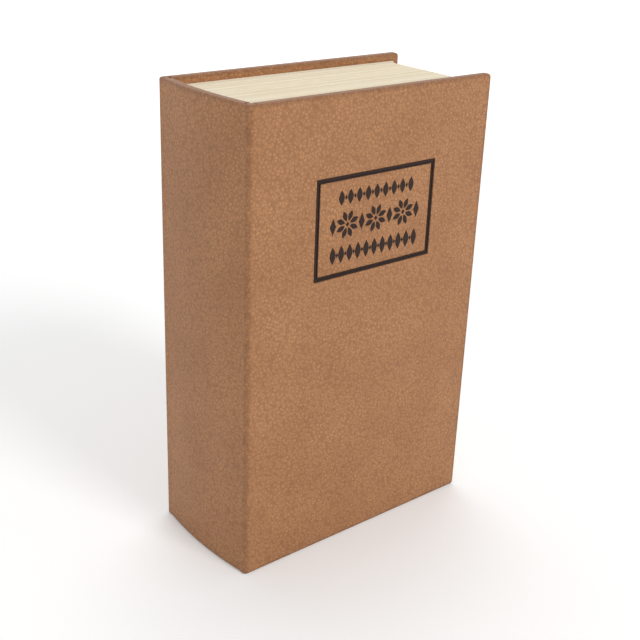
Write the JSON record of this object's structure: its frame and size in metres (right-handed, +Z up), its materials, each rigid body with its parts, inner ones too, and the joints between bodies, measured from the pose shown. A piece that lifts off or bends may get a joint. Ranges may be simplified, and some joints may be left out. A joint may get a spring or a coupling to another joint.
{
  "type": "book safe",
  "caption": "Steel cash tray with a hinged, key-locked lid, hidden in a hollow hardback book whose front cover opens.",
  "frame": {"origin": "under the middle of the standing book, on the surface that its tail edges rest on", "axes": "+Z up from the tail to the head, +X from the spine to the fore-edge, +Y from the front cover to the back cover"},
  "size_m": [0.115, 0.055, 0.18],
  "materials": {
    "covering": "tan-brown grained leatherette",
    "plate": "dark brown stamped foil",
    "greyboard": "grey binder's board",
    "endpaper": "cream endpaper",
    "pages": "cream paper, cut edges",
    "painted_steel": "black powder coat",
    "zinc_plate": "bright zinc plate",
    "lock_chrome": "chrome plate",
    "key_brass": "satin brass"
  },
  "bodies": {
    "book": {"back_covering": "covering", "back_board": "greyboard", "back_pastedown": "endpaper", "spine_covering": "covering", "spine_board": "greyboard", "spine_lining": "endpaper", "front_joint": "covering", "back_joint": "covering", "pages_head": "pages", "pages_tail": "pages", "pages_fore_edge": "pages", "steel_tray": "painted_steel", "lock_strike": "zinc_plate", "tray_rivet_1": "zinc_plate", "tray_rivet_2": "zinc_plate", "tray_rivet_3": "zinc_plate", "tray_rivet_4": "zinc_plate", "tray_hinge_leaf": "painted_steel", "lid_hinge_pin": "zinc_plate", "key_ring": "zinc_plate", "key_1": "key_brass", "key_2": "key_brass"},
    "front_cover": {"front_covering": "covering", "front_board": "greyboard", "front_pastedown": "endpaper", "title_plate": "plate"},
    "lid": {"steel_lid": "painted_steel", "lid_hinge_leaf": "painted_steel", "lock_housing": "lock_chrome", "lock_nut": "zinc_plate"},
    "lock_core": {"lock_plug": "lock_chrome", "lock_wafer_1": "key_brass", "lock_wafer_2": "key_brass", "lock_wafer_3": "key_brass", "lock_wafer_4": "key_brass", "lock_cam": "zinc_plate", "cam_washer": "zinc_plate", "cam_screw": "zinc_plate"}
  },
  "joints": [
    {"name": "front_cover_hinge", "type": "hinge", "parent": "book", "child": "front_cover", "pos_m": [-0.0539, -0.0257, 0.09], "axis": [0, 0, -1], "range_deg": [0, 180]},
    {"name": "lid_hinge", "type": "hinge", "parent": "book", "child": "lid", "pos_m": [-0.0474, -0.0166, 0.09], "axis": [0, 0, -1], "range_deg": [0, 100]},
    {"name": "lock_turn", "type": "hinge", "parent": "lid", "child": "lock_core", "pos_m": [0.028, -0.0202, 0.09], "axis": [0, -1, 0], "range_deg": [0, 90]}
  ],
  "couplings": [
    {"joint": "lid_hinge", "follows": "front_cover_hinge", "ratio": 0.55556}
  ]
}
